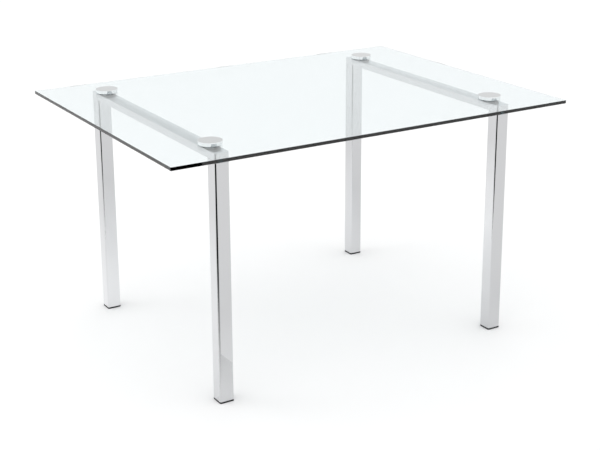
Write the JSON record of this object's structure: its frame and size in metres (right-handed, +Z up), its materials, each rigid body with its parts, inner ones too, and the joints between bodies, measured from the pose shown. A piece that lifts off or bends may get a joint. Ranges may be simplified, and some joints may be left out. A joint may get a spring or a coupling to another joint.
{
  "type": "glass dining table",
  "caption": "Rectangular dining table with a clear glass top held by round chrome screw clamps on end frames of square tube; the clamp caps unscrew.",
  "frame": {"origin": "on the floor, under the middle of the glass pane", "axes": "+X along the long side, +Y across the table from front to back, +Z up"},
  "size_m": [1.35, 1, 0.762],
  "materials": {
    "clear_glass": "clear tempered float glass with polished dark green edges",
    "polished_chrome": "bright chrome plate on polished steel",
    "black_plastic": "fine moulded texture",
    "zinc_plated_steel": "bright zinc plate",
    "soft_gasket": "matt soft PVC",
    "nylon_sleeve": "translucent natural nylon"
  },
  "bodies": {
    "table": {"glass_top": "clear_glass", "left_crossbar": "polished_chrome", "right_crossbar": "polished_chrome", "front_left_leg": "polished_chrome", "front_right_leg": "polished_chrome", "rear_left_leg": "polished_chrome", "rear_right_leg": "polished_chrome", "front_left_end_plate": "polished_chrome", "front_right_end_plate": "polished_chrome", "rear_left_end_plate": "polished_chrome", "rear_right_end_plate": "polished_chrome", "front_left_foot_plug": "black_plastic", "front_right_foot_plug": "black_plastic", "rear_left_foot_plug": "black_plastic", "rear_right_foot_plug": "black_plastic", "front_left_weld_nut": "zinc_plated_steel", "front_right_weld_nut": "zinc_plated_steel", "rear_left_weld_nut": "zinc_plated_steel", "rear_right_weld_nut": "zinc_plated_steel", "front_left_stud": "zinc_plated_steel", "front_right_stud": "zinc_plated_steel", "rear_left_stud": "zinc_plated_steel", "rear_right_stud": "zinc_plated_steel", "front_left_spacer": "polished_chrome", "front_right_spacer": "polished_chrome", "rear_left_spacer": "polished_chrome", "rear_right_spacer": "polished_chrome", "front_left_lower_gasket": "soft_gasket", "front_right_lower_gasket": "soft_gasket", "rear_left_lower_gasket": "soft_gasket", "rear_right_lower_gasket": "soft_gasket", "front_left_glass_sleeve": "nylon_sleeve", "front_right_glass_sleeve": "nylon_sleeve", "rear_left_glass_sleeve": "nylon_sleeve", "rear_right_glass_sleeve": "nylon_sleeve"},
    "front_left_washer": {"front_left_upper_gasket": "soft_gasket"},
    "front_left_cap": {"front_left_clamp_cap": "polished_chrome"},
    "front_right_washer": {"front_right_upper_gasket": "soft_gasket"},
    "front_right_cap": {"front_right_clamp_cap": "polished_chrome"},
    "rear_left_washer": {"rear_left_upper_gasket": "soft_gasket"},
    "rear_left_cap": {"rear_left_clamp_cap": "polished_chrome"},
    "rear_right_washer": {"rear_right_upper_gasket": "soft_gasket"},
    "rear_right_cap": {"rear_right_clamp_cap": "polished_chrome"}
  },
  "joints": [
    {"name": "front_left_cap_lift", "type": "slide", "parent": "table", "child": "front_left_washer", "axis": [0, 0, 1], "range_m": [0, 0.0075]},
    {"name": "front_left_cap_turn", "type": "hinge", "parent": "front_left_washer", "child": "front_left_cap", "pos_m": [-0.487, -0.357, 0.7515], "axis": [0, 0, 1], "range_deg": [0, 1800]},
    {"name": "front_right_cap_lift", "type": "slide", "parent": "table", "child": "front_right_washer", "axis": [0, 0, 1], "range_m": [0, 0.0075]},
    {"name": "front_right_cap_turn", "type": "hinge", "parent": "front_right_washer", "child": "front_right_cap", "pos_m": [0.487, -0.357, 0.7515], "axis": [0, 0, 1], "range_deg": [0, 1800]},
    {"name": "rear_left_cap_lift", "type": "slide", "parent": "table", "child": "rear_left_washer", "axis": [0, 0, 1], "range_m": [0, 0.0075]},
    {"name": "rear_left_cap_turn", "type": "hinge", "parent": "rear_left_washer", "child": "rear_left_cap", "pos_m": [-0.487, 0.357, 0.7515], "axis": [0, 0, 1], "range_deg": [0, 1800]},
    {"name": "rear_right_cap_lift", "type": "slide", "parent": "table", "child": "rear_right_washer", "axis": [0, 0, 1], "range_m": [0, 0.0075]},
    {"name": "rear_right_cap_turn", "type": "hinge", "parent": "rear_right_washer", "child": "rear_right_cap", "pos_m": [0.487, 0.357, 0.7515], "axis": [0, 0, 1], "range_deg": [0, 1800]}
  ],
  "couplings": [
    {"joint": "front_left_cap_lift", "follows": "front_left_cap_turn", "m_per_rad": 0.00023873},
    {"joint": "front_right_cap_lift", "follows": "front_right_cap_turn", "m_per_rad": 0.00023873},
    {"joint": "rear_left_cap_lift", "follows": "rear_left_cap_turn", "m_per_rad": 0.00023873},
    {"joint": "rear_right_cap_lift", "follows": "rear_right_cap_turn", "m_per_rad": 0.00023873}
  ]
}
